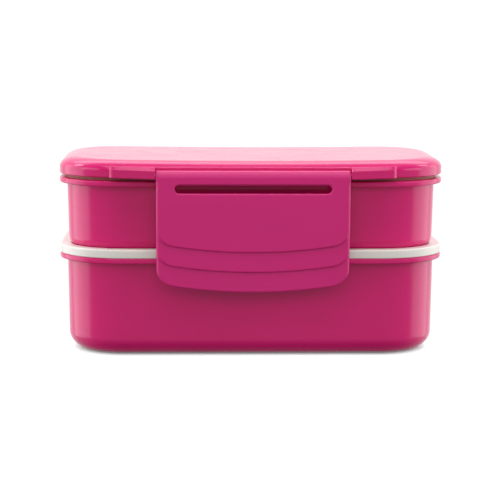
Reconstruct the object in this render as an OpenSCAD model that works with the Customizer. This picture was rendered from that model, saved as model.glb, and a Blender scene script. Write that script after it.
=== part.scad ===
// Two-tier bento lunch box: two tubs, a middle lid, a clip-on top lid, two latches, seals and dividers.
// X runs along the long side, -Y is the front, +Z is up. The origin is the centre of the base.

/* [Footprint] */
// Overall length of the rims along X
rim_w = 186; // [170:1:210]
// Overall depth of the rims along Y
rim_d = 102; // [94:1:120]
// Plan radius of the rims' corners
corner_r = 32; // [30:0.5:38]

/* [Tubs] */
// Height of the lower tub, which is the top of its rim
lower_h = 46.9; // [44:0.1:60]
// Height of the upper tub from its own base to the top of its rim
upper_h = 35.1; // [33:0.1:50]
// Height of each rim band
rim_h = 2.7; // [2:0.1:3]
// How far the rims stand out from the walls below them
rim_out = 3.6; // [3:0.1:4.5]
// Wall thickness of both tubs
wall = 1.7; // [1.4:0.1:2]
// How far a wall leans in from its rim to its base
draft = 0.8; // [0.5:0.1:1.5]
// Radius of the lower tub's outer bottom edge
lower_fillet = 8; // [6:0.5:11]
// Radius of the upper tub's outer bottom edge
upper_fillet = 7; // [5:0.5:9]

/* [Middle lid] */
// Height of the middle lid's visible flange
flange_h = 4.2; // [4:0.1:5.5]
// Thickness of the middle lid's plate, on which the upper tub stands
plate_t = 1.6; // [1.4:0.1:2]

/* [Top lid] */
// Height from the lid's lower edge to its top
lid_h = 7.9; // [7.5:0.1:9]
// Gap between the upper rim and the lid's lower edge, which the seal fills
seal_gap = 2; // [1.4:0.1:2.2]
// Thickness of the lid's top plate
lid_t = 1.8; // [1.5:0.1:2]
// Width of the rounded top edge in plan
round_w = 9; // [7:0.5:10]
// Height of the rounded top edge
round_h = 5; // [4:0.1:5.5]

/* [Latches] */
// Width of each latch
latch_w = 91.4; // [80:0.1:100]
// Height of the latch from its lowest point to its top
latch_h = 57.7; // [56:0.1:59]
// Step between one terrace and the next, down the latch and out from it
terrace = [9.55, 0.9];
// Radius of the latch's smiling lower edges
smile_r = 250; // [200:10:400]
// Radius of the latch's lower corners
latch_corner_r = 8.5; // [6:0.5:10]
// Length and height of the round-ended slot
slot = [73.7, 4];
// Depth of the slot's centre below the top of the latch
slot_drop = 8.6; // [7.8:0.1:10]
// Radius of the hinge barrel along the latch's top edge
barrel_r = 2.7; // [2.4:0.1:2.8]
// Radius of the stub pins
pin_r = 1.3; // [1.1:0.1:1.4]
// Radial running clearance of the pins in the ears
pin_play = 0.05; // [0.03:0.01:0.08]
// Length of each stub pin
pin_l = 3; // [2:0.5:3.5]
// Length of each hinge ear along X
ear_l = 21.8; // [18:0.1:24]

/* [Dividers] */
// Thickness of the loose partitions
divider_t = 1.6; // [1.2:0.1:2]
// Resting place of the upper partition along X
upper_divider_x = 20; // [-20:1:20]
// Resting place of the lower partition along X
lower_divider_x = -20; // [-20:1:20]

/* [Hidden] */
$fn = 96;
arc_steps = 8;

pink = "DeepPink";
satin_pink = "MediumVioletRed";
white = "WhiteSmoke";
silicone = "Tan";
frosted = "MistyRose";

floor_t = 1.8;                 // thickness of the tubs' floors
foot_w = 7;                    // width of the base ring on which each tub stands
foot_h = 0.6;                  // depth of the panel inside the base ring
wall_in = rim_out + wall;      // inner wall face, measured in from the rim's edge at the rim
side_gap = 0.3;                // clearance between pieces that pass each other
upper_z = lower_h + plate_t;   // base of the upper tub
upper_rim_z = upper_z + upper_h;
lid_z = upper_rim_z + seal_gap;
lid_top = lid_z + lid_h;
plug_t = 1.4;                  // thickness of the locating walls under both lids
plug_h = 4;                    // how far those walls reach into the tubs
middle_plug_in = wall_in + 2.5;
seal_seat = 0.9;               // lip at the foot of the middle lid's locating wall, which holds its seal
lid_plug_in = wall_in + 0.4;

latch_gap = 0.4;                               // side gap between a latch and an ear
latch_top = lid_top - 4.5;
hinge_z = latch_top - barrel_r;
hinge_y = rim_d / 2 + barrel_r + 0.9;          // distance of the hinge axis from the box's centre
latch_low = latch_top - latch_h;
front_face = hinge_y + barrel_r;               // outermost face of the latch's top layer
latch_back = rim_d / 2 + 2.5;                  // inner face of the latch plate
plate_skin = 2;                                // wall left in front of the latch's rear pocket
catch_z = lower_h - rim_h - 1.3;               // height of the catch bead, just under the lower rim
catch_r = latch_back - rim_d / 2 - side_gap;
ear_in = latch_w / 2 + latch_gap;
ear_z = [lid_z - 0.7, lid_top - 2.9];
ear_bow_r = 300;                               // plan radius of the ears' front faces
ear_front = front_face - 0.1;

// Points along an arc about (cx, cy), from angle a0 to angle a1
function arc(cx, cy, rx, ry, a0, a1) =
    [for (i = [0:arc_steps]) let (a = a0 + (a1 - a0) * i / arc_steps) [cx + rx * cos(a), cy + ry * sin(a)]];

// Sweeps a profile round the footprint. x in the profile is measured outwards from the rim's edge, so it is
// negative inside the box, and a profile that reaches x = -corner_r closes over the middle.
module swept(profile, closed = false) {
    x = rim_w / 2 - corner_r;
    y = rim_d / 2 - corner_r;
    for (side = [0, 1]) rotate([0, 0, 180 * side]) {
        translate([x, y, 0]) rotate_extrude(angle = 90) translate([corner_r, 0]) polygon(profile);
        translate([-x, y, 0]) rotate([0, 0, 90]) rotate_extrude(angle = 90)
            translate([corner_r, 0]) polygon(profile);
        translate([x, y, 0]) rotate([90, 0, 0]) linear_extrude(2 * y) translate([corner_r, 0]) polygon(profile);
        translate([-x, y, 0]) rotate([90, 0, 90]) linear_extrude(2 * x)
            translate([corner_r, 0]) polygon(profile);
    }
    if (closed) {
        core = [for (p = profile) if (p[0] < 1 - corner_r) p[1]];
        translate([-x, -y, min(core)]) cube([2 * x, 2 * y, max(core) - min(core)]);
    }
}

// How far a tub's wall leans in for each millimetre down
function lean(h) = draft / (h - rim_h);

// Centre of the outer fillet round a tub's base
function tub_fillet_centre(z0, h, fillet) =
    [-rim_out - draft + lean(h) * fillet - fillet, z0 + fillet];

// Outer and inner side of a tub, from the middle of its base round its rim and back
function tub_profile(z0, h, fillet) = let (
    centre = tub_fillet_centre(z0, h, fillet),
    inner_fillet = fillet - wall,
    edge = 0.5
) concat(
    [[-corner_r, z0 + foot_h], [centre[0] - foot_w - foot_h, z0 + foot_h], [centre[0] - foot_w, z0]],
    arc(centre[0], centre[1], fillet, fillet, -90, 0),
    [
        [-rim_out, z0 + h - rim_h],
        [-edge, z0 + h - rim_h],
        [0, z0 + h - rim_h + edge],
        [0, z0 + h - edge],
        [-edge, z0 + h],
        [-wall_in + 0.3, z0 + h],
        [-wall_in, z0 + h - 0.3]
    ],
    arc(centre[0], z0 + floor_t + inner_fillet, inner_fillet, inner_fillet, 0, -90),
    [[-corner_r, z0 + floor_t]]
);

module lower_container() {
    color(pink) swept(tub_profile(0, lower_h, lower_fillet), closed = true);
}

module upper_container() {
    color(pink) swept(tub_profile(upper_z, upper_h, upper_fillet), closed = true);
}

// The flange's inner side is a cradle that follows the upper tub's bottom edge
module middle_lid() {
    flange_top = lower_h + flange_h;
    plug_inner = -middle_plug_in - plug_t;
    centre = tub_fillet_centre(upper_z, upper_h, upper_fillet);
    cradle_r = upper_fillet + 0.4;
    profile = concat(
        [
            [-corner_r, lower_h],
            [plug_inner, lower_h],
            [plug_inner, lower_h - plug_h],
            [-middle_plug_in + seal_seat, lower_h - plug_h],
            [-middle_plug_in + seal_seat, lower_h - plug_h + seal_seat],
            [-middle_plug_in, lower_h - plug_h + seal_seat],
            [-middle_plug_in, lower_h],
            [-0.4, lower_h],
            [0, lower_h + 0.4],
            [0, flange_top - 0.8],
            [-0.25, flange_top - 0.25],
            [-0.8, flange_top]
        ],
        arc(
            centre[0], centre[1], cradle_r, cradle_r,
            asin((flange_top - centre[1]) / cradle_r), asin((upper_z - centre[1]) / cradle_r)
        ),
        [[-corner_r, upper_z]]
    );
    color(white) swept(profile, closed = true);
}

// Seal with two soft fins that wipe the lower tub's inner wall
module middle_lid_gasket() {
    outer = -wall_in - side_gap;
    inner = 0.1 - middle_plug_in;
    low = lower_h - plug_h + seal_seat;
    fin = 0.7;
    profile = [
        [inner, low],
        [outer - 0.9, low],
        [outer, low + fin],
        [outer - 0.9, low + 2 * fin],
        [outer, low + 3 * fin],
        [outer - 0.9, lower_h],
        [inner, lower_h]
    ];
    color(silicone) swept(profile);
}

// Face seal with a wide upper lip, whose edge shows in the gap under the lid
module lid_gasket() {
    inner = 0.1 - lid_plug_in;
    foot = -2.6;
    lip = -0.7;
    profile = [
        [inner, upper_rim_z],
        [foot, upper_rim_z],
        [foot, upper_rim_z + seal_gap / 2],
        [lip, upper_rim_z + seal_gap / 2],
        [lip, lid_z],
        [inner, lid_z]
    ];
    color(silicone) swept(profile);
}

// Ears at both ends of one latch, with the ledge that joins them behind the latch's barrel
module hinge_ears() {
    root_y = rim_d / 2 - 2.6;
    lip_y = rim_d / 2 + side_gap;
    ledge_y = hinge_y - barrel_r - side_gap;
    bow = ear_bow_r - sqrt(pow(ear_bow_r, 2) - pow(ear_in, 2));
    side = [
        [root_y, lid_z], [lip_y, lid_z], [lip_y, ear_z[0]],
        [ear_front, ear_z[0]], [ear_front, ear_z[1]], [root_y, ear_z[1]]
    ];
    difference() {
        intersection() {
            for (end = [-1, 1]) translate([end * (ear_in + ear_l / 2) - ear_l / 2, 0, 0]) rotate([90, 0, 90])
                linear_extrude(ear_l) polygon([for (p = side) [-p[0], p[1]]]);
            translate([0, ear_bow_r - ear_front - bow, ear_z[0] - 1])
                cylinder(r = ear_bow_r, h = ear_z[1] - ear_z[0] + 2, $fn = 360);
        }
        for (end = [-1, 1]) translate([end * (ear_in - 0.1), -hinge_y, hinge_z]) rotate([0, end * 90, 0])
            cylinder(r = pin_r + pin_play, h = pin_l + 0.4);
    }
    translate([-ear_in, -ledge_y, lid_z]) cube([2 * ear_in, ledge_y - root_y, ear_z[1] - lid_z]);
}

module lid() {
    shoulder = lid_top - round_h;
    plug_inner = -lid_plug_in - plug_t;
    under = lid_top - lid_t;
    profile = concat(
        [[-lid_plug_in, lid_z], [-0.5, lid_z], [0, lid_z + 0.5]],
        arc(-round_w, shoulder, round_w, lid_top - shoulder, 0, 90),
        [
            [-corner_r, lid_top],
            [-corner_r, under],
            [plug_inner - 3, under],
            [plug_inner, under - 2],
            [plug_inner, upper_rim_z - plug_h / 2],
            [-lid_plug_in, upper_rim_z - plug_h / 2]
        ]
    );
    color(pink) {
        swept(profile, closed = true);
        for (turn = [0, 180]) rotate([0, 0, turn]) hinge_ears();
    }
}

// Outline of one latch layer in X and Z: straight sides, a smiling lower edge and tangent round corners
function latch_outline(low) = let (
    corner_x = latch_w / 2 - latch_corner_r,
    reach = smile_r - latch_corner_r,
    smile_half = asin(corner_x / reach),
    skip = 1,  // degrees left between the smile's arc and each corner's arc, so that no two points meet
    corner_z = low + smile_r - reach * cos(smile_half)
) concat(
    [[latch_w / 2, hinge_z]],
    arc(corner_x, corner_z, latch_corner_r, latch_corner_r, 0, smile_half - 90),
    arc(0, low + smile_r, smile_r, smile_r, smile_half - 90 - skip, skip - 90 - smile_half),
    arc(-corner_x, corner_z, latch_corner_r, latch_corner_r, -90 - smile_half, -180),
    [[-latch_w / 2, hinge_z]]
);

module latch_layer(low, front) {
    translate([0, -latch_back, 0]) rotate([90, 0, 0])
        linear_extrude(front - latch_back) polygon(latch_outline(low));
}

module slot_cutter() {
    r = slot[1] / 2;
    translate([0, -latch_back + 1, latch_top - slot_drop]) rotate([90, 0, 0]) linear_extrude(10) {
        for (side = [-1, 1]) translate([side * (slot[0] / 2 - r), 0]) circle(r);
        translate([r - slot[0] / 2, -r]) square([slot[0] - 2 * r, 2 * r]);
    }
}

// Front latch. The rear one is the same piece turned round.
module latch() {
    margin = 3;
    pocket_low = latch_low + 2 * terrace[0] + latch_corner_r;
    pocket_top = hinge_z - barrel_r - 0.4;
    difference() {
        union() {
            for (i = [0:2]) latch_layer(latch_low + i * terrace[0], front_face - (2 - i) * terrace[1]);
            translate([-latch_w / 2, -hinge_y, hinge_z]) rotate([0, 90, 0]) cylinder(r = barrel_r, h = latch_w);
            translate([-latch_w / 2 - pin_l, -hinge_y, hinge_z]) rotate([0, 90, 0])
                cylinder(r = pin_r, h = latch_w + 2 * pin_l);
        }
        translate([margin - latch_w / 2, -front_face + plate_skin, pocket_low])
            cube([latch_w - 2 * margin, 10, pocket_top - pocket_low]);
        slot_cutter();
    }
    translate([-latch_w / 2 + margin, -latch_back, catch_z]) intersection() {
        rotate([0, 90, 0]) cylinder(r = catch_r, h = latch_w - 2 * margin);
        translate([0, -1, -catch_r]) cube([latch_w, catch_r + 1, 2 * catch_r]);
    }
}

module front_latch() {
    color(satin_pink) latch();
}

module rear_latch() {
    color(satin_pink) rotate([0, 0, 180]) latch();
}

// Loose partition across a tub, with a foot and a bead along its top
module divider(x, z0, tub_h, fillet) {
    play = 0.4;
    base_half = rim_d / 2 - rim_out - draft - wall - play;
    top_half = rim_d / 2 - wall_in - play;
    bottom = z0 + floor_t;
    top = z0 + tub_h - 5.2;
    inner_fillet = fillet - wall;
    edge = concat(
        arc(base_half - inner_fillet, bottom + inner_fillet, inner_fillet, inner_fillet, -90, 0),
        [[top_half, top]]
    );
    outline = concat(edge, [for (i = [len(edge) - 1:-1:0]) [-edge[i][0], edge[i][1]]]);
    color(frosted) translate([x, 0, 0]) {
        rotate([90, 0, 90]) translate([0, 0, -divider_t / 2]) linear_extrude(divider_t) polygon(outline);
        translate([-3, 6 - top_half, top - divider_t]) cube([6, 2 * top_half - 12, divider_t]);
        translate([-4, inner_fillet - base_half, bottom]) cube([8, 2 * (base_half - inner_fillet), divider_t]);
    }
}

module upper_divider() {
    divider(upper_divider_x, upper_z, upper_h, upper_fillet);
}

module lower_divider() {
    divider(lower_divider_x, 0, lower_h, lower_fillet);
}

lower_container();
lower_divider();
middle_lid();
middle_lid_gasket();
upper_container();
upper_divider();
lid();
lid_gasket();
front_latch();
rear_latch();
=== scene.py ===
import math
import bmesh
import bpy
from mathutils import Matrix, Quaternion, Vector


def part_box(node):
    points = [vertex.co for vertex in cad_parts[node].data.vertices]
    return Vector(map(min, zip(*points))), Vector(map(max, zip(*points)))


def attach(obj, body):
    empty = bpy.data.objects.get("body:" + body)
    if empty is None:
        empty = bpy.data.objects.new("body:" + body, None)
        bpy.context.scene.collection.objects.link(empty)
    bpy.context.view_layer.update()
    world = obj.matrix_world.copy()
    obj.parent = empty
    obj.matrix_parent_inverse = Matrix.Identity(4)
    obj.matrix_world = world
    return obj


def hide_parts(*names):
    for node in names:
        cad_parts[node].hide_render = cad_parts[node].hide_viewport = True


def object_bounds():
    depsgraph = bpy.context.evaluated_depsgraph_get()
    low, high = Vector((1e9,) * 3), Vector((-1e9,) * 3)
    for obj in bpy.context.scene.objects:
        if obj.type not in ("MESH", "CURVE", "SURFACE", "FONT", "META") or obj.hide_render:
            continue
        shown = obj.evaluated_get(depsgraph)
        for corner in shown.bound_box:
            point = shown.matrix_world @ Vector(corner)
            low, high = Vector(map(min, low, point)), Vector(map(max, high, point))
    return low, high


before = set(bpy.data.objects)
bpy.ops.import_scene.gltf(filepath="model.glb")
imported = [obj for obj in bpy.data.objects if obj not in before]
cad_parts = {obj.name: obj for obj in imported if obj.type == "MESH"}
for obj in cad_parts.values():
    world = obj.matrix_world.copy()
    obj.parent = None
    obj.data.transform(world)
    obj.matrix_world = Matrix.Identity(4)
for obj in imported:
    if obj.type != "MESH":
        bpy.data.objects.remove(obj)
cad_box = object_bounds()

# A two-tier bento lunch box. Shapes are worked out in millimetres and scaled once, when a mesh is made.
MM = 0.001
MICRON = 0.000001


def span(node):
    """Lowest and highest corner of a CAD node at rest, in millimetres."""
    low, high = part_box(node)
    return low / MM, high / MM


# Places that the CAD nodes give, at rest
lower_low, lower_high = span("lower_container")
upper_low, upper_high = span("upper_container")
middle_low, middle_high = span("middle_lid")
middle_seal_low, middle_seal_high = span("middle_lid_gasket")
lid_low, lid_high = span("lid")
seal_low, seal_high = span("lid_gasket")
latch_low, latch_high = span("front_latch")

# The footprint: half sizes of the rims and the plan radius of their corners
RIM_X, RIM_Y, CORNER = lower_high.x, lower_high.y, 32
CORNER_STEPS = 22             # steps round each corner
LONG_STEPS = 16               # steps along each long side
MIDDLE = 1 - CORNER           # how far a profile reaches in before it is closed over the middle
ARC_STEP = math.radians(9)    # angle of one step along a rounded corner
EDGE_STEPS = 5                # steps across a rounded edge
QUARTER = [math.pi / 2 * k / EDGE_STEPS for k in range(EDGE_STEPS + 1)]
SHARP_ANGLE = math.radians(38)    # edges sharper than this aren't smoothed

# The tubs: how far the rim stands out, the wall, its draft, the rim band, the floor and the base ring
RIM_OUT, WALL, DRAFT, RIM_H = 3.6, 1.7, 0.8, 2.7
FLOOR_T, FOOT_W, FOOT_H = 1.8, 7, 0.6
LOWER_FILLET, UPPER_FILLET = 8, 7
WALL_IN = RIM_OUT + WALL
PLUG_T = 1.4                  # locating walls under both lids

# The lid: its rounded top edge, its top plate and the ears that carry the latches
ROUND_W, ROUND_H, LID_T = 9, 5, 1.8
ROUND_STEPS = 18              # steps of a long rounding
LID_PLUG_IN = WALL_IN + 0.4
LID_DROP = 0.3                # how far the lid reaches down over its seal
EAR_IN, EAR_L = 46.1, 21.8
EAR_BOW = 300                 # plan radius of the ears' front
EAR_LOW, EAR_TOP = seal_high.z - 0.7, lid_high.z - 2.9
EAR_BEVEL = 1.7
EAR_END = 2.4                 # plan radius of an ear's outer end
EAR_RISE = (0.4, 0.3)         # how far an ear's lower and upper edges have risen at its outer end
EAR_SLICES = 48               # steps along an ear
SAG = 0.7                     # how far the middle of the lid's long edges has sunk

# The latches: half width, terraces, slot, hinge barrel and catch bead
LATCH_X, LATCH_BACK = 45.7, RIM_Y + 2.5
LATCH_FRONT = -latch_low.y
TERRACE_DOWN, TERRACE_OUT = 9.55, 0.9
SMILE, LATCH_CORNER = 250, 8.5    # radii of each terrace's lower edge and of its corners
SLOT_L, SLOT_H, SLOT_DROP = 73.7, 4, 8.6
SLOT_MOUTH = 0.8              # how far the slot flares where it meets the latch's face
BARREL, PIN, PIN_PLAY = 2.7, 1.3, 0.05
LATCH_EDGE = 0.8              # radius of the rounded edges of each terrace
SIDE_EDGE = 1.6               # radius of the rounded edges along the latch's two sides
TOP_ROLL = 4.2                # height of the long rounding along each latch's top
HINGE_Y, HINGE_Z = LATCH_FRONT - BARREL, latch_high.z - BARREL
CATCH_Z = lower_high.z - RIM_H - 1.3
CATCH_R = LATCH_BACK + latch_high.y
CATCH_IN = 3                  # how far the catch bead's ends stay inside the latch's sides
POCKET_IN, POCKET_R, POCKET_SKIN = 3, 1.5, 2    # the rear pocket: margin, corners, and the skin it leaves
RIB, CELLS = 1.2, 5           # the pocket's ribs and cells
HAIR = 0.03                   # keeps faces that would lie in one plane apart while solids are joined

# The dividers: half thickness, play at the walls, and half widths of the bead and the foot
SHEET, PLAY, BEAD, FOOT = 0.8, 0.4, 3, 4


# ---------------------------------------------------------------- outlines

def arc(centre, radius, start, end, steps):
    """Points of an arc, from angle start to end in degrees. radius is one number or one for each axis."""
    wide, high = radius if isinstance(radius, tuple) else (radius, radius)
    angles = [math.radians(start + (end - start) * k / steps) for k in range(steps + 1)]
    return [(centre[0] + wide * math.cos(a), centre[1] + high * math.sin(a)) for a in angles]


def circle(centre, radius, steps=48):
    """An outline of a circle."""
    return [Vector(p) for p in arc(centre, radius, 0, 360, steps)[:-1]]


def rounded(corners):
    """Points of an outline. A corner is (u, v) or (u, v, radius), and one with a radius becomes an arc."""
    points = []
    for i, corner in enumerate(corners):
        here = Vector(corner[:2])
        if len(corner) == 2:
            points.append(here)
            continue
        back = (Vector(corners[i - 1][:2]) - here).normalized()
        onward = (Vector(corners[(i + 1) % len(corners)][:2]) - here).normalized()
        half = back.angle(onward) / 2
        centre = here + (back + onward).normalized() * corner[2] / math.sin(half)
        first = here + back * corner[2] / math.tan(half) - centre
        turn = (math.pi - 2 * half) * (1 if back.cross(onward) < 0 else -1)
        steps = max(2, round(abs(turn) / ARC_STEP))
        points += [centre + Matrix.Rotation(turn * k / steps, 2) @ first for k in range(steps + 1)]
    return points


def rectangle(low, high, radius):
    """An outline of a rectangle between its lowest and highest corner, with all four corners rounded."""
    corners = (low, (high[0], low[1]), high, (low[0], high[1]))
    return rounded([(*corner, radius) for corner in corners])


def inset(outline, by):
    """The outline with every side moved inwards by the same distance."""
    onward = outline[1:] + outline[:1]
    turn = 1 if sum(a.cross(b) for a, b in zip(outline, onward)) > 0 else -1
    moved = []
    for i, here in enumerate(outline):
        before = (here - outline[i - 1]).normalized()
        after = (onward[i] - here).normalized()
        first, second = Vector((-before.y, before.x)), Vector((-after.y, after.x))
        moved.append(here + (first + second) * turn * by / (1 + first.dot(second)))
    return moved


def ring(offset, z):
    """The footprint's outline, moved outwards by offset, at height z."""
    points = []
    for quarter, (x, y) in enumerate(((1, 1), (-1, 1), (-1, -1), (1, -1))):
        centre = (x * (RIM_X - CORNER), y * (RIM_Y - CORNER))
        points += arc(centre, CORNER + offset, 90 * quarter, 90 * quarter + 90, CORNER_STEPS)
        if x * y > 0:
            start, stop = points[-1][0], -points[-1][0]
            side = points[-1][1]
            points += [(start + (stop - start) * k / LONG_STEPS, side) for k in range(1, LONG_STEPS)]
    return [Vector((x, y, z)) for x, y in points]


# ---------------------------------------------------------------- solids

def loft(name, rings, loop=False, striped=False):
    """A piece skinned over rings of equal length. Its two ends are filled, with strips across if striped.
    In a loop they are joined instead."""
    mesh = bmesh.new()
    verts = [[mesh.verts.new(point * MM) for point in points] for points in rings]
    following = verts[1:] + verts[:1] if loop else verts[1:]
    for low, high in zip(verts, following):
        for i in range(len(low)):
            mesh.faces.new((low[i - 1], low[i], high[i], high[i - 1]))
    for end in () if loop else (verts[0], verts[-1]):
        if striped:
            last = len(end) - 1
            for i in range(last // 2):
                mesh.faces.new((end[i], end[i + 1], end[last - i - 1], end[last - i]))
        else:
            mesh.faces.new(end)
    bmesh.ops.recalc_face_normals(mesh, faces=mesh.faces)
    shape = bpy.data.meshes.new(name)
    mesh.to_mesh(shape)
    mesh.free()
    piece = bpy.data.objects.new(name, shape)
    bpy.context.scene.collection.objects.link(piece)
    return piece


def swept(name, profile, loop=False):
    """A profile of (offset, z) corners carried round the footprint."""
    return loft(name, [ring(p[0], p[1]) for p in rounded(profile)], loop, striped=True)


def rounding(edge, stretch):
    """Steps of (way in from an end, inset) that round the end by edge. Sharp if edge is 0."""
    if not edge:
        return [(0, 0)]
    return [(stretch * edge * (1 - math.cos(a)), edge * (1 - math.sin(a))) for a in QUARTER]


def prism(name, outline, low, high, edges, place, slices=1, stretch=1):
    """An outline extruded from low to high. Its two ends are rounded by edges, over stretch times as much
    length. place maps (u, v, w) to (x, y, z)."""
    start, end = edges
    first, last = low + stretch * start, high - stretch * end
    levels = [(low + way, by) for way, by in rounding(start, stretch)]
    levels += [(first + (last - first) * k / slices, 0) for k in range(1, slices)]
    levels += [(high - way, by) for way, by in rounding(end, stretch)[::-1]]
    rings = [[Vector(place(p.x, p.y, w)) for p in inset(outline, by)] for w, by in levels]
    return loft(name, rings)


def along_x(u, v, w):
    """Stands an outline of (depth, height) across the box. Depth is measured forwards, to -Y."""
    return w, -u, v


def along_y(u, v, w):
    """Stands an outline of (x, z) up facing the front, at depth w."""
    return u, -w, v


def flat(u, v, w):
    """Lays an outline of (y, x) down at height w."""
    return v, u, w


def combine(base, tools, operation):
    """Joins tools to a piece or cuts them from it. The tools are used up."""
    for tool in tools:
        step = base.modifiers.new("combine", "BOOLEAN")
        step.operation, step.solver, step.object = operation, "EXACT", tool
    made = base.evaluated_get(bpy.context.evaluated_depsgraph_get())
    shape = bpy.data.meshes.new_from_object(made)
    base.modifiers.clear()
    base.data = shape
    for tool in tools:
        bpy.data.objects.remove(tool)
    return base


def turned(piece, name):
    """A copy of a piece, turned half round the box's axis."""
    copy = bpy.data.objects.new(name, piece.data.copy())
    copy.data.transform(Matrix.Rotation(math.pi, 4, "Z"))
    bpy.context.scene.collection.objects.link(copy)
    return copy


def settle(piece, node, slot, body=None):
    """Smooths a piece, gives it its slot's material and puts it on a body in place of its CAD node. A body
    that isn't given has the node's name."""
    piece.data.polygons.foreach_set("use_smooth", [True] * len(piece.data.polygons))
    piece.data.set_sharp_from_angle(angle=SHARP_ANGLE)
    weighted = piece.modifiers.new("weighted_normals", "WEIGHTED_NORMAL")
    weighted.keep_sharp = True
    piece.data.materials.clear()
    piece.data.materials.append(materials[slot])
    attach(piece, body or node)
    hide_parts(node)


# ---------------------------------------------------------------- pieces

def tub(name, base, top, fillet):
    """A tub with a base ring, a filleted bottom, leaning walls and a rim that stands out."""
    foot = -RIM_OUT - DRAFT - fillet
    return swept(name, [
        (MIDDLE, base + FOOT_H),
        (foot - FOOT_W - FOOT_H, base + FOOT_H, 0.4),
        (foot - FOOT_W, base, 0.4),
        (-RIM_OUT - DRAFT, base, fillet),
        (-RIM_OUT, top - RIM_H, 0.4),
        (0, top - RIM_H, 0.7),
        (0, top, 0.8),
        (-WALL_IN, top, 0.6),
        (-WALL_IN - DRAFT, base + FLOOR_T, fillet - WALL),
        (MIDDLE, base + FLOOR_T),
    ])


def middle_lid():
    """The lower tub's lid, with a cradle for the upper tub and a locating wall that holds the seal."""
    bottom, top, plate = lower_high.z, middle_high.z, upper_low.z
    plug_out = 7.8
    lip = 0.9
    plug_in = plug_out + PLUG_T
    centre = (-RIM_OUT - DRAFT - UPPER_FILLET + 0.17, plate + UPPER_FILLET)
    cradle = UPPER_FILLET + 0.4
    first, last = (math.degrees(math.asin((z - centre[1]) / cradle)) for z in (top, plate))
    return swept("middle_lid_shell", [
        (MIDDLE, bottom),
        (-plug_in, bottom, 0.5),
        (-plug_in, middle_low.z, 0.4),
        (lip - plug_out, middle_low.z, 0.3),
        (lip - plug_out, middle_low.z + lip, 0.2),
        (-plug_out, middle_low.z + lip, 0.1),
        (-plug_out, bottom, 0.2),
        (0, bottom, 0.5),
        (0, top, 0.9),
        *arc(centre, cradle, first, last, 10),
        (MIDDLE, plate),
    ])


def middle_lid_gasket():
    """The lower tub's seal, with two soft fins."""
    inner, outer, root = -7.7, -WALL_IN - 0.3, -WALL_IN - 1.2
    low, high, fin = middle_seal_low.z, middle_seal_high.z, 0.7
    return swept("middle_lid_seal", [
        (inner, low, 0.1),
        (root, low, 0.1),
        (outer, low + fin, 0.15),
        (root, low + 2 * fin, 0.1),
        (outer, low + 3 * fin, 0.15),
        (root, high, 0.1),
        (inner, high, 0.1),
    ], loop=True)


def lid_gasket():
    """The lid's seal: a foot that rests on the upper rim and a lip whose edge shows in the gap."""
    inner, foot, lip = 0.1 - LID_PLUG_IN, -2.8, -1.8
    low, high = seal_low.z, seal_high.z - LID_DROP
    step = (seal_low.z + seal_high.z) / 2
    return swept("lid_seal", [
        (inner, low, 0.2),
        (foot, low, 0.2),
        (foot, step, 0.2),
        (lip, step, 0.3),
        (lip, high, 0.3),
        (inner, high, 0.2),
    ], loop=True)


def hinge_ear(side):
    """One ear that carries a latch's pin, on the left (-1) or the right (1)."""
    root, edge, front = RIM_Y - 2.6, RIM_Y + 0.3, lid_high.y
    over_seal = seal_high.z + 0.2
    outline = rounded([
        (root, over_seal),
        (edge, over_seal),
        (edge, EAR_LOW),
        (front, EAR_LOW, 0.6),
        (front, EAR_TOP - EAR_BEVEL, 0.6),
        (front - EAR_BEVEL, EAR_TOP, 0.6),
        (root, EAR_TOP),
    ])
    low, high = sorted((side * EAR_IN, side * (EAR_IN + EAR_L)))
    ear = prism("hinge_ear", outline, low, high, (0.5, 0.5), along_x, slices=EAR_SLICES)
    bend_ear(ear, root, front)
    bore_end = EAR_IN + latch_high.x - LATCH_X + 0.4
    low, high = sorted((side * (EAR_IN - 1), side * bore_end))
    bore = prism("bore", circle((HINGE_Y, HINGE_Z), PIN + PIN_PLAY), low, high, (0, 0), along_x)
    return combine(ear, [bore], "DIFFERENCE")


def bend_ear(ear, root, front):
    """Bows an ear's front back towards its outer end, rounds that end in plan and lifts it a little."""
    straight = EAR_BOW - math.sqrt(EAR_BOW ** 2 - EAR_IN ** 2)
    for vert in ear.data.vertices:
        x, depth, z = abs(vert.co.x) / MM, -vert.co.y / MM, vert.co.z / MM
        bow = EAR_BOW - math.sqrt(EAR_BOW ** 2 - x ** 2) - straight
        into_end = max(0, 1 - (EAR_IN + EAR_L - x) / EAR_END)
        bow += EAR_END * (1 - math.sqrt(1 - min(1, into_end) ** 2))
        vert.co.y = -(root + (depth - root) * (front - bow - root) / (front - root)) * MM
        outward, upward = (x - EAR_IN) / EAR_L, (z - EAR_LOW) / (EAR_TOP - EAR_LOW)
        vert.co.z += outward * (EAR_RISE[0] * (1 - upward) + EAR_RISE[1] * upward) * MM


def hinge_ledge():
    """The ledge that joins two ears behind a latch's barrel."""
    root, edge = RIM_Y - 2.7, HINGE_Y - BARREL - 0.3
    low, high = seal_high.z + 0.1, EAR_TOP - 0.1
    outline = rounded([(root, low), (edge, low, 0.4), (edge, high, 0.8), (root, high)])
    return prism("hinge_ledge", outline, -EAR_IN - 1, EAR_IN + 1, (0, 0), along_x)


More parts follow.
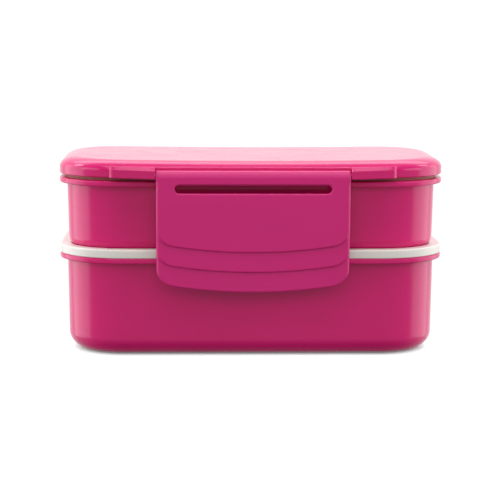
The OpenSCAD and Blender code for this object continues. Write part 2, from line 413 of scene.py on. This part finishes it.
def lid():
    """The top lid with its locating wall, its four ears and the two ledges between them."""
    top, low = lid_high.z, seal_high.z - LID_DROP
    shoulder = top - ROUND_H
    plug_in = LID_PLUG_IN + PLUG_T
    shell = swept("lid_shell", [
        (MIDDLE, top - LID_T),
        (-plug_in - 3, top - LID_T, 2),
        (-plug_in, top - LID_T - 2, 2),
        (-plug_in, lid_low.z, 0.5),
        (-LID_PLUG_IN, lid_low.z, 0.6),
        (-LID_PLUG_IN, low, 0.2),
        (0, low, 0.6),
        *arc((-ROUND_W, shoulder), (ROUND_W, ROUND_H), 0, 90, ROUND_STEPS),
        (MIDDLE, top),
    ])
    for vert in shell.data.vertices:
        along = vert.co.x / MM / (RIM_X - CORNER / 2)
        up = (vert.co.z / MM - lid_low.z) / (top - lid_low.z)
        vert.co.z -= SAG * max(0, 1 - along ** 2) * up ** 2 * MM
    hinges = [hinge_ear(-1), hinge_ear(1), hinge_ledge()]
    hinges += [turned(piece, "rear_hinge") for piece in hinges]
    return combine(shell, hinges, "UNION")


def latch_layer(level):
    """One of a latch's three stacked layers: 0 is the lowest and thinnest, 2 is the plate with the slot."""
    low = latch_low.z + level * TERRACE_DOWN
    front = LATCH_FRONT - (2 - level) * TERRACE_OUT - HAIR / 3
    half = LATCH_X - (2 - level) * HAIR
    corner_x = half - LATCH_CORNER
    reach = SMILE - LATCH_CORNER
    lean = math.degrees(math.asin(corner_x / reach))
    corner_z = low + SMILE - reach * math.cos(math.radians(lean))
    top = latch_high.z - TOP_ROLL + LATCH_EDGE if level == 2 else corner_z + 2 * TERRACE_DOWN
    outline = [(half, top)]
    outline += arc((corner_x, corner_z), LATCH_CORNER, 0, lean - 90, 14)
    outline += arc((0, low + SMILE), SMILE, lean - 90, -90 - lean, 30)[1:-1]
    outline += arc((-corner_x, corner_z), LATCH_CORNER, -90 - lean, -180, 14)
    outline.append((-half, top))
    back = LATCH_BACK + level * HAIR
    layer = prism("latch_layer", [Vector(p) for p in outline], back, front, (0.3, LATCH_EDGE), along_y)
    widen_side_edges(layer, front, corner_x)
    return layer


def widen_side_edges(layer, front, corner_x):
    """Makes the rounded front edge of a layer wider along its two sides, from corner_x outwards."""
    for vert in layer.data.vertices:
        x, way = abs(vert.co.x) / MM, max(0, front + vert.co.y / MM)
        if way < 2 * LATCH_EDGE:
            by = LATCH_EDGE - math.sqrt(LATCH_EDGE ** 2 - max(0, LATCH_EDGE - way) ** 2)
            beside = min(1, max(0, x + by - corner_x) / LATCH_CORNER)
            more = (SIDE_EDGE / LATCH_EDGE - 1) * beside ** 2 * (3 - 2 * beside)
            vert.co.y += more * way * MM
            vert.co.x *= (x - more * by) / x


def stadium(length, height, z):
    """An outline with two round ends."""
    x = (length - height) / 2
    points = arc((x, z), height / 2, -90, 90, 16) + arc((-x, z), height / 2, 90, 270, 16)
    return [Vector(p) for p in points]


def slot_cutter():
    """The slot's shape, which flares where it meets the latch's face."""
    outline = stadium(SLOT_L, SLOT_H, latch_high.z - SLOT_DROP)
    flare = [(SLOT_MOUTH * (1 - math.sin(a)), SLOT_MOUTH * (math.cos(a) - 1)) for a in QUARTER]
    levels = [(LATCH_BACK - 2, 0)]
    levels += [(LATCH_FRONT - way, by) for way, by in flare]
    levels += [(LATCH_FRONT + 2, -SLOT_MOUTH)]
    return loft("slot", [[Vector(along_y(p.x, p.y, w)) for p in inset(outline, by)] for w, by in levels])


def pocket_cutters():
    """The cells of the pocket behind the plate, with stiffening ribs left between them."""
    low = latch_low.z + 2 * TERRACE_DOWN + LATCH_CORNER
    high = HINGE_Z - BARREL - 0.4
    width = (2 * (LATCH_X - POCKET_IN) - (CELLS - 1) * RIB) / CELLS
    floor = LATCH_FRONT - POCKET_SKIN
    cutters = []
    for cell in range(CELLS):
        x = POCKET_IN - LATCH_X + cell * (width + RIB)
        outline = rectangle((x, low), (x + width, high), POCKET_R)
        cutters.append(prism("pocket", outline, LATCH_BACK - 2, floor, (0, 0.4), along_y))
    return cutters


def latch_barrel():
    """The hinge barrel along a latch's top, whose front is the long rounding of the top edge."""
    roll = arc((HINGE_Y, latch_high.z - TOP_ROLL), (BARREL, TOP_ROLL), 0, 90, ROUND_STEPS)
    roll += arc((HINGE_Y, HINGE_Z), BARREL, 90, 270, 30)[1:]
    roll.append((LATCH_FRONT - HAIR, HINGE_Z - BARREL))
    shallow = LATCH_EDGE / 2      # a deeper rounding would fold over the roll's short front side
    ends = (shallow, shallow)
    return prism("barrel", [Vector(p) for p in roll], -LATCH_X, LATCH_X, ends, along_x, stretch=2)


def latch_catch():
    """The bead behind a latch that hooks under the lower tub's rim."""
    root = LATCH_BACK + 1
    bead = arc((LATCH_BACK, CATCH_Z), CATCH_R, 90, 270, 20)
    bead += [(root, CATCH_Z - CATCH_R), (root, CATCH_Z + CATCH_R)]
    reach = LATCH_X - CATCH_IN
    return prism("catch", [Vector(p) for p in bead], -reach, reach, (0.8, 0.8), along_x)


def latch():
    """A latch: three layers, a hinge barrel with stub pins, a catch bead, a slot and a rear pocket."""
    plate = latch_layer(2)
    pins = prism("pins", circle((HINGE_Y, HINGE_Z), PIN), latch_low.x, latch_high.x, (0.3, 0.3), along_x)
    combine(plate, [latch_layer(1), latch_layer(0), latch_barrel(), pins, latch_catch()], "UNION")
    return combine(plate, [slot_cutter(), *pocket_cutters()], "DIFFERENCE")


def divider(name, node, fillet):
    """A loose partition with a foot and a bead along its top."""
    low, high = span(node)
    x = (low.x + high.x) / 2
    foot_y, bead_y = RIM_Y - RIM_OUT - DRAFT - WALL - PLAY, high.y - 6
    bend = fillet - WALL
    outline = rounded([
        (-foot_y, low.z, bend),
        (foot_y, low.z, bend),
        (high.y, high.z, 1.5),
        (-high.y, high.z, 1.5),
    ])
    plate = prism(name, outline, x - SHEET, x + SHEET, (0.5, 0.5), along_x)
    bead = rectangle((-bead_y, x - BEAD), (bead_y, x + BEAD), BEAD - 0.1)
    foot = rectangle((bend - foot_y, x - FOOT), (foot_y - bend, x + FOOT), FOOT - 0.1)
    upper = prism("bead", bead, high.z - 2 * SHEET - HAIR, high.z - HAIR, (0.6, 0.6), flat)
    lower = prism("foot", foot, low.z + HAIR, low.z + 2 * SHEET, (0.5, 0.6), flat)
    return combine(plate, [upper, lower], "UNION")


# ---------------------------------------------------------------- shader nodes

def given(tree, socket, value):
    """Sets a socket to a plain value, or links it to another node's output."""
    if isinstance(value, bpy.types.NodeSocket):
        tree.links.new(value, socket)
    else:
        socket.default_value = value


def ranged(tree, value, low, high, start=0.3, end=0.7):
    """A value stretched from start..end to low..high, and held between them."""
    made = tree.nodes.new("ShaderNodeMapRange")
    numbers = {"From Min": start, "From Max": end, "To Min": low, "To Max": high}
    for socket, number in numbers.items():
        made.inputs[socket].default_value = number
    tree.links.new(value, made.inputs["Value"])
    return made.outputs["Result"]


def noise(tree, scale, detail, rough=0.5, stretch=(1, 1, 1)):
    """Noise that is fixed to the piece and squeezed along its axes by stretch."""
    place = tree.nodes.new("ShaderNodeTexCoord").outputs["Object"]
    mapping = tree.nodes.new("ShaderNodeMapping")
    mapping.inputs["Scale"].default_value = stretch
    tree.links.new(place, mapping.inputs["Vector"])
    made = tree.nodes.new("ShaderNodeTexNoise")
    numbers = {"Scale": scale, "Detail": detail, "Roughness": rough}
    for socket, number in numbers.items():
        made.inputs[socket].default_value = number
    tree.links.new(mapping.outputs["Vector"], made.inputs["Vector"])
    return made.outputs["Fac"]


def mixed(tree, factor, first, second):
    """A colour between two others. Each of the three is a plain value or a node's output."""
    made = tree.nodes.new("ShaderNodeMix")
    made.data_type = "RGBA"
    for socket, value in (("Factor", factor), ("A", first), ("B", second)):
        given(tree, made.inputs[socket], value)
    return made.outputs["Result"]


def bump(tree, height, microns, normal=None):
    """A surface raised by up to so many micrometres, on top of another normal if one is given."""
    made = tree.nodes.new("ShaderNodeBump")
    made.inputs["Distance"].default_value = microns * MICRON
    tree.links.new(height, made.inputs["Height"])
    if normal:
        tree.links.new(normal, made.inputs["Normal"])
    return made.outputs["Normal"]


def calculated(tree, operation, first, second=None):
    """A vector calculation on a node's output and a plain value or another output."""
    made = tree.nodes.new("ShaderNodeVectorMath")
    made.operation = operation
    tree.links.new(first, made.inputs[0])
    if operation == "SCALE":
        given(tree, made.inputs["Scale"], second)
    elif second:
        given(tree, made.inputs[1], second)
    return made.outputs["Value" if operation == "LENGTH" else "Vector"]


def ramp(tree, factor, stops):
    """Greys that follow stops of (position, level)."""
    made = tree.nodes.new("ShaderNodeValToRGB")
    elements = made.color_ramp.elements
    for k, (position, level) in enumerate(stops):
        stop = elements[k] if k < 2 else elements.new(position)
        stop.position = position
        stop.color = (level, level, level, 1)
    tree.links.new(factor, made.inputs["Fac"])
    return made.outputs["Color"]


# ---------------------------------------------------------------- materials

WHITE = (1, 1, 1, 1)
PINK, SATIN = (0.72, 0.009, 0.172), (0.72, 0.012, 0.205)
IVORY, FROST, TAN = (0.86, 0.82, 0.77), (0.9, 0.86, 0.88), (0.45, 0.14, 0.13)
GREY = (0.5, 0.5, 0.5)
# How far red, green and blue light spread under a surface: their shares, and the farthest in metres
SCATTER, SCATTER_DEPTH = (1.0, 0.35, 0.45), 0.002


def plastic(name, colour, roughness, spread, peel, grain, specular=0.5, subsurface=0, transmission=0):
    """Moulded plastic: flow marks that shift its colour by up to spread, smudges in its gloss, and a
    surface with long waves and fine grain, peel and grain micrometres high."""
    material = bpy.data.materials.new(name)
    material.use_nodes = True
    tree = material.node_tree
    shader = tree.nodes["Principled BSDF"]

    deep = (*[c * (1 - spread) for c in colour], 1)
    pale = (*[min(1, c * (1 + spread)) for c in colour], 1)
    flow = ranged(tree, noise(tree, 26, 4, 0.6, (0.5, 1, 1.6)), 0, 1)
    smudges = ranged(tree, noise(tree, 70, 5, 0.65), roughness * 0.82, roughness * 1.22)
    waves = bump(tree, noise(tree, 110, 2), peel)
    tree.links.new(mixed(tree, flow, deep, pale), shader.inputs["Base Color"])
    tree.links.new(smudges, shader.inputs["Roughness"])
    tree.links.new(bump(tree, noise(tree, 2600, 3, 0.6), grain, waves), shader.inputs["Normal"])

    shader.inputs["Specular IOR Level"].default_value = specular
    shader.inputs["Transmission Weight"].default_value = transmission
    shader.inputs["Subsurface Weight"].default_value = subsurface
    shader.inputs["Subsurface Radius"].default_value = SCATTER
    shader.inputs["Subsurface Scale"].default_value = SCATTER_DEPTH
    return material


# The materials by their slots in the record
materials = {
    "gloss_pink": plastic(
        "gloss_pink", PINK, 0.19, spread=0.04, peel=6, grain=0.6, specular=0.42, subsurface=0.08),
    "gloss_pink_lid": plastic(
        "gloss_pink_lid", PINK, 0.15, spread=0.04, peel=1.5, grain=0.4, specular=0.45, subsurface=0.08),
    "satin_pink": plastic(
        "satin_pink", SATIN, 0.33, spread=0.03, peel=8, grain=4, specular=0.52, subsurface=0.08),
    "white": plastic(
        "warm_white", IVORY, 0.32, spread=0.02, peel=10, grain=2, subsurface=0.15),
    "frosted_white": plastic(
        "frosted_white", FROST, 0.45, spread=0.02, peel=10, grain=4, subsurface=0.2, transmission=0.4),
    "silicone": plastic(
        "silicone", TAN, 0.55, spread=0.05, peel=10, grain=5, subsurface=0.3),
}


def floor_material():
    """A matt pale surface with a faint mottle. It shows only close under the box, and then fades out."""
    material = plastic("pale_floor", GREY, 0.8, spread=0.01, peel=10, grain=20, specular=0.1)
    tree = material.node_tree
    nodes, link = tree.nodes, tree.links.new
    core = ((RIM_X - CORNER) * MM, (RIM_Y - CORNER) * MM, 1)
    place = nodes.new("ShaderNodeTexCoord").outputs["Object"]
    past_core = calculated(tree, "SUBTRACT", calculated(tree, "ABSOLUTE", place), core)
    away = calculated(tree, "LENGTH", calculated(tree, "MAXIMUM", past_core, (0, 0, 0)))
    shader = nodes["Principled BSDF"]
    shader.inputs["Emission Color"].default_value = WHITE
    shader.inputs["Emission Strength"].default_value = FLOOR_GLOW
    mix = nodes.new("ShaderNodeMixShader")
    link(ranged(tree, away, 0, 1, *[way * MM for way in FLOOR_FADE]), mix.inputs["Fac"])
    link(shader.outputs["BSDF"], mix.inputs[1])
    link(nodes.new("ShaderNodeBsdfTransparent").outputs["BSDF"], mix.inputs[2])
    link(mix.outputs["Shader"], nodes["Material Output"].inputs["Surface"])
    return material


# ---------------------------------------------------------------- studio

# The floor in millimetres: its half size and thickness, where it fades round the footprint, and its glow
FLOOR_HALF, FLOOR_THICK, FLOOR_DOWN = 1200, 1, 0.05
FLOOR_FADE = (CORNER - 13.5, CORNER - 6)
FLOOR_GLOW = 0.1

# The sky's brightness from its front (0) to its back (1), below and above the horizon, and straight down
BELOW = ((0, 0.5), (0.3, 0.5), (0.45, 0.7), (0.6, 1.0), (1, 1.0))
ABOVE = ((0, 0.15), (0.3, 0.2), (0.5, 0.4), (0.6, 0.7), (0.74, 1.0), (1, 1.0))
NADIR, STEEP, LEVEL = 0.2, -0.8, -0.3
HORIZON = 0.03
SKY_STRENGTH = 1.05

AIM = Vector((0, 0, 0.045))   # the place that the lights face, in metres

# The camera: angles in degrees, distance in metres, lens and sensor in millimetres
AZIMUTH, ELEVATION, ROLL = -1.85, 7.35, 0.24
DISTANCE, LENS, SENSOR = 0.919, 132, 36
SHIFT = (0.0012, -0.0094)


def make_floor():
    """A wide plain floor under the box."""
    outline = circle((0, 0), FLOOR_HALF, 96)
    floor = prism("floor", outline, -FLOOR_THICK, -FLOOR_DOWN, (0.2, 0.2), flat)
    floor.data.materials.append(floor_material())


def softbox(name, place, size, radiance):
    """A rectangular light of a given radiance, turned to AIM. Its place and size are in metres."""
    light = bpy.data.lights.new(name, "AREA")
    light.shape, light.size, light.size_y = "RECTANGLE", *size
    light.energy = radiance * math.pi * size[0] * size[1]
    box = bpy.data.objects.new(name, light)
    box.location = place
    box.rotation_mode = "QUATERNION"
    box.rotation_quaternion = (Vector(place) - AIM).to_track_quat("Z", "Y")
    box.visible_camera = False
    bpy.context.scene.collection.objects.link(box)


def make_lights():
    """Soft boxes above the box and on both sides of it. The left is the brighter side."""
    softbox("crown", (0, 0.42, 0.62), (1.0, 0.3), 1.8)
    softbox("overhead", (0, -0.3, 0.85), (0.9, 0.4), 2.4)
    softbox("brow", (0, -0.8, 0.6), (1.2, 0.5), 1.0)
    for side, way, beside, front, lamp in (("left", -1, 1.4, 1.7, 7), ("right", 1, 1.1, 1.9, 3)):
        softbox(side, (way * 0.62, 0.09, 0.1), (0.56, 0.6), beside)
        softbox(f"{side}_front", (way * 0.8, -0.4, 0.35), (0.5, 0.5), front)
        softbox(f"{side}_lamp", (way * 0.67, 0.24, 0.64), (0.2, 0.2), lamp)


def make_sky():
    """A pale studio sky, bright behind the box and dim in front of it, so that the box's front keeps a deep
    colour. The camera sees it as plain white."""
    world = bpy.data.worlds.new("studio")
    bpy.context.scene.world = world
    world.use_nodes = True
    tree = world.node_tree
    nodes, link = tree.nodes, tree.links.new
    split = nodes.new("ShaderNodeSeparateXYZ")
    link(nodes.new("ShaderNodeTexCoord").outputs["Generated"], split.inputs["Vector"])
    back, up = ranged(tree, split.outputs["Y"], 0, 1, -1, 1), split.outputs["Z"]
    lower = calculated(tree, "SCALE", ramp(tree, back, BELOW), ranged(tree, up, NADIR, 1, STEEP, LEVEL))
    whole = mixed(tree, ranged(tree, up, 0, 1, -HORIZON, HORIZON), lower, ramp(tree, back, ABOVE))
    seen = nodes.new("ShaderNodeLightPath").outputs["Is Camera Ray"]
    link(mixed(tree, seen, whole, WHITE), nodes["Background"].inputs["Color"])
    nodes["Background"].inputs["Strength"].default_value = SKY_STRENGTH


def make_camera():
    """A long lens at table height, a little to the left of the box's middle."""
    azimuth, elevation, roll = (math.radians(angle) for angle in (AZIMUTH, ELEVATION, ROLL))
    level = math.cos(elevation)
    back = Vector((math.sin(azimuth) * level, -math.cos(azimuth) * level, math.sin(elevation)))
    lens = bpy.data.cameras.new("camera")
    lens.sensor_width, lens.lens = SENSOR, LENS
    lens.shift_x, lens.shift_y = SHIFT
    camera = bpy.data.objects.new("camera", lens)
    camera.location = Vector((0, 0, cad_box[1].z / 2)) + back * DISTANCE
    camera.rotation_mode = "QUATERNION"
    camera.rotation_quaternion = back.to_track_quat("Z", "Y") @ Quaternion((0, 0, 1), roll)
    bpy.context.scene.collection.objects.link(camera)
    bpy.context.scene.camera = camera


make_camera()
make_floor()
make_sky()
make_lights()
bpy.context.scene.view_settings.view_transform = "Standard"

# ---------------------------------------------------------------- the box

lower_tub = tub("lower_tub", lower_low.z, lower_high.z, LOWER_FILLET)
upper_tub = tub("upper_tub", upper_low.z, upper_high.z, UPPER_FILLET)
settle(lower_tub, "lower_container", "gloss_pink")
settle(upper_tub, "upper_container", "gloss_pink")
settle(middle_lid(), "middle_lid", "white")
settle(middle_lid_gasket(), "middle_lid_gasket", "silicone", body="middle_lid")
settle(lid(), "lid", "gloss_pink_lid")
settle(lid_gasket(), "lid_gasket", "silicone", body="lid")
front = latch()
front.name = "front_clip"
rear = turned(front, "rear_clip")
settle(front, "front_latch", "satin_pink")
settle(rear, "rear_latch", "satin_pink")
settle(divider("lower_partition", "lower_divider", LOWER_FILLET), "lower_divider", "frosted_white")
settle(divider("upper_partition", "upper_divider", UPPER_FILLET), "upper_divider", "frosted_white")
